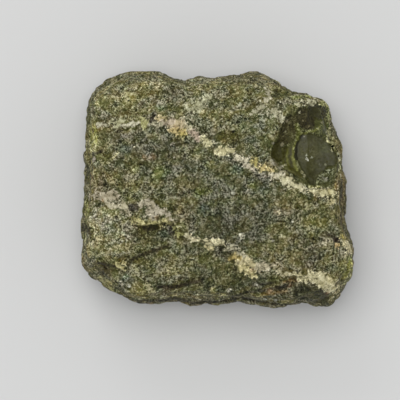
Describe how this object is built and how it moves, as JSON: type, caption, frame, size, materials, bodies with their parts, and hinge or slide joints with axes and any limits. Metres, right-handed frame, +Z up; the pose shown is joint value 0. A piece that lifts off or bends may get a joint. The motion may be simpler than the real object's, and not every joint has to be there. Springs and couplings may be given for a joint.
{
  "type": "raw jade boulder",
  "caption": "Rough broken block of raw jade with stepped fracture ledges, bedded side walls, small pits and a fresh scooped chip at one upper corner",
  "frame": {"origin": "on the resting surface, under the middle of the boulder's bounding box", "axes": "+X along the boulder's length, +Y along its width, +Z up through its thickness; seen from above with +Y away from the viewer the fresh chip is at the back right"},
  "size_m": [0.0786, 0.0684, 0.042],
  "materials": {
    "jade_rock": "rough grey-green jade with a dull granular rind, cream veins and a waxy dark green fresh chip"
  },
  "bodies": {
    "root": {"boulder": "jade_rock"}
  },
  "joints": []
}
